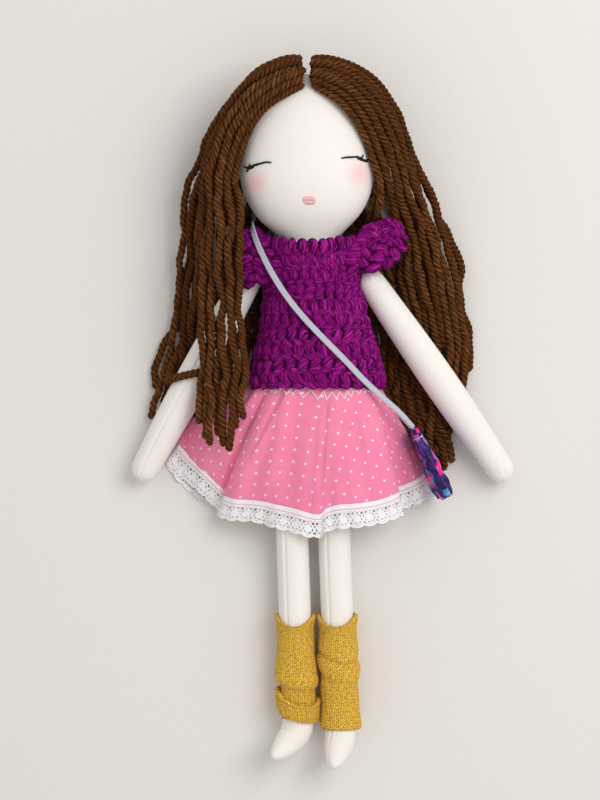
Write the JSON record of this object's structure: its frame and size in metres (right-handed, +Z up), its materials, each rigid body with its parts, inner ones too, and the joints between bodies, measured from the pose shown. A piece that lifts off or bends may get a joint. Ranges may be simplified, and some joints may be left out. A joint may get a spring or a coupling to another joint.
{
  "type": "rag doll",
  "caption": "Sewn rag doll with yarn hair, crochet top, dotted skirt, knitted leg warmers and a shoulder bag, lying on its back; its head, arms, legs, leg warmers and bag move.",
  "frame": {"origin": "on the flat back of the crochet top under the chest, on the surface that the doll lies on", "axes": "+Y from the feet to the head, +Z up out of the face and chest, +X to the doll's left"},
  "size_m": [0.2439, 0.4487, 0.0649],
  "materials": {
    "skin_cotton": "matt",
    "hair_yarn": "matt",
    "purple_yarn": "matt",
    "pink_cotton": "matt",
    "white_lace": "matt",
    "white_elastic": "matt",
    "mustard_knit": "matt",
    "black_thread": "matt",
    "pink_thread": "matt",
    "strap_cord": "matt",
    "printed_cotton": "matt"
  },
  "bodies": {
    "torso": {"torso": "skin_cotton", "crochet_top": "purple_yarn", "sleeve_cap_right": "purple_yarn", "sleeve_cap_left": "purple_yarn", "skirt": "pink_cotton", "waist_elastic": "white_elastic", "lace_trim": "white_lace", "bag_strap": "strap_cord"},
    "head": {"head": "skin_cotton", "eye_right": "black_thread", "eye_left": "black_thread", "mouth": "pink_thread", "parting_seam": "hair_yarn", "hair_front_right": "hair_yarn", "hair_front_left": "hair_yarn", "hair_back_right": "hair_yarn", "hair_back_left": "hair_yarn"},
    "shoulder_right": {"shoulder_tab_right": "skin_cotton"},
    "shoulder_left": {"shoulder_tab_left": "skin_cotton"},
    "arm_right": {"arm_right": "skin_cotton"},
    "arm_left": {"arm_left": "skin_cotton"},
    "leg_right": {"leg_right": "skin_cotton"},
    "leg_left": {"leg_left": "skin_cotton"},
    "warmer_right": {"leg_warmer_right": "mustard_knit"},
    "warmer_left": {"leg_warmer_left": "mustard_knit"},
    "bag": {"bag_pouch": "printed_cotton"}
  },
  "joints": [
    {"name": "neck_nod", "type": "hinge", "parent": "torso", "child": "head", "pos_m": [-0.002, 0.062, 0.032], "axis": [1, 0, 0], "range_deg": [0, 20], "deforming": ["hair_front_right", "hair_front_left", "hair_back_right", "hair_back_left"]},
    {"name": "shoulder_forward_right", "type": "hinge", "parent": "torso", "child": "shoulder_right", "pos_m": [-0.0379, 0.0455, 0.027], "axis": [-1, 0, 0], "range_deg": [0, 100], "deforming": ["sleeve_cap_right"]},
    {"name": "arm_raise_right", "type": "hinge", "parent": "shoulder_right", "child": "arm_right", "pos_m": [-0.0379, 0.0455, 0.027], "axis": [0, 0, -1], "range_deg": [0, 60]},
    {"name": "shoulder_forward_left", "type": "hinge", "parent": "torso", "child": "shoulder_left", "pos_m": [0.03604, 0.0365, 0.027], "axis": [-1, 0, 0], "range_deg": [0, 100], "deforming": ["sleeve_cap_left"]},
    {"name": "arm_raise_left", "type": "hinge", "parent": "shoulder_left", "child": "arm_left", "pos_m": [0.03604, 0.0365, 0.027], "axis": [0, 0, 1], "range_deg": [0, 60]},
    {"name": "hip_right", "type": "hinge", "parent": "torso", "child": "leg_right", "pos_m": [-0.0157, -0.0693, 0.018], "axis": [-1, 0, 0], "range_deg": [0, 90], "deforming": ["skirt", "lace_trim"]},
    {"name": "hip_left", "type": "hinge", "parent": "torso", "child": "leg_left", "pos_m": [0.0111, -0.0693, 0.018], "axis": [-1, 0, 0], "range_deg": [0, 90]},
    {"name": "warmer_slide_right", "type": "slide", "parent": "leg_right", "child": "warmer_right", "axis": [-0.0349, 0.999, 0.0285], "range_m": [0, 0.045]},
    {"name": "warmer_slide_left", "type": "slide", "parent": "leg_left", "child": "warmer_left", "axis": [-0.0349, 0.999, 0.0285], "range_m": [0, 0.045]},
    {"name": "bag_swing", "type": "hinge", "parent": "torso", "child": "bag", "pos_m": [0.063, -0.056, 0.024], "axis": [0, 0, 1], "range_deg": [0, 25], "deforming": ["bag_strap"]}
  ]
}
